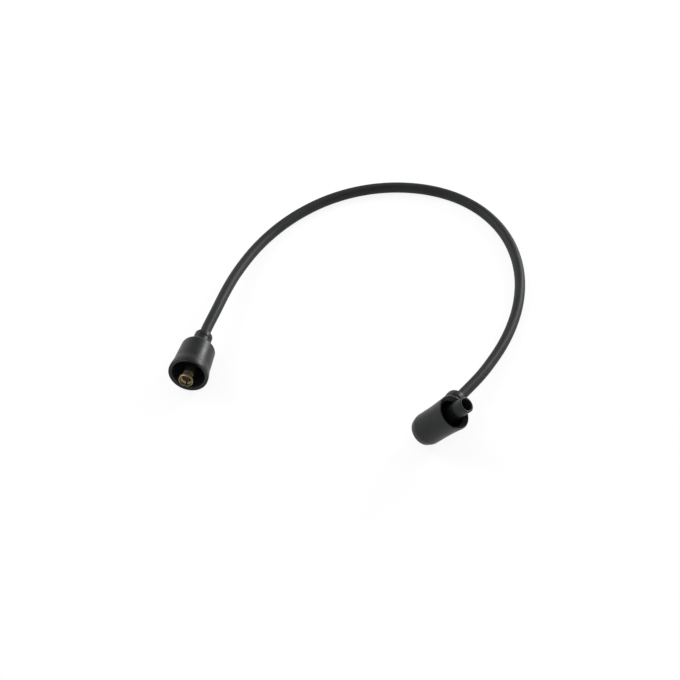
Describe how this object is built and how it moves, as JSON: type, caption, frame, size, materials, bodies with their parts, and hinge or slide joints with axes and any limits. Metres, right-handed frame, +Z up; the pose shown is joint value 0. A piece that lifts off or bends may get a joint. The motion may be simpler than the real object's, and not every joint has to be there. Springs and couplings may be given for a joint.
{
  "type": "spark plug wire",
  "caption": "Ignition lead with a straight tower boot and snap-in terminal at one end and a right-angled boot with an inner sleeve and socket at the other.",
  "frame": {"origin": "on the table, under the middle of the two boots and their terminals, the cable left out", "axes": "+X from the straight boot to the angled boot, -Y the way the straight boot's mouth looks, +Z up from the table"},
  "size_m": [0.2065, 0.253, 0.0426],
  "materials": {
    "cable_jacket": "satin black extruded rubber jacket",
    "boot_rubber": "moulded black rubber, softly shining",
    "terminal_brass": "rolled brass strip, dulled"
  },
  "bodies": {
    "root": {"ignition_cable": "cable_jacket", "straight_boot": "boot_rubber", "tower_terminal": "terminal_brass", "angle_boot": "boot_rubber", "socket_terminal": "terminal_brass"}
  },
  "joints": []
}
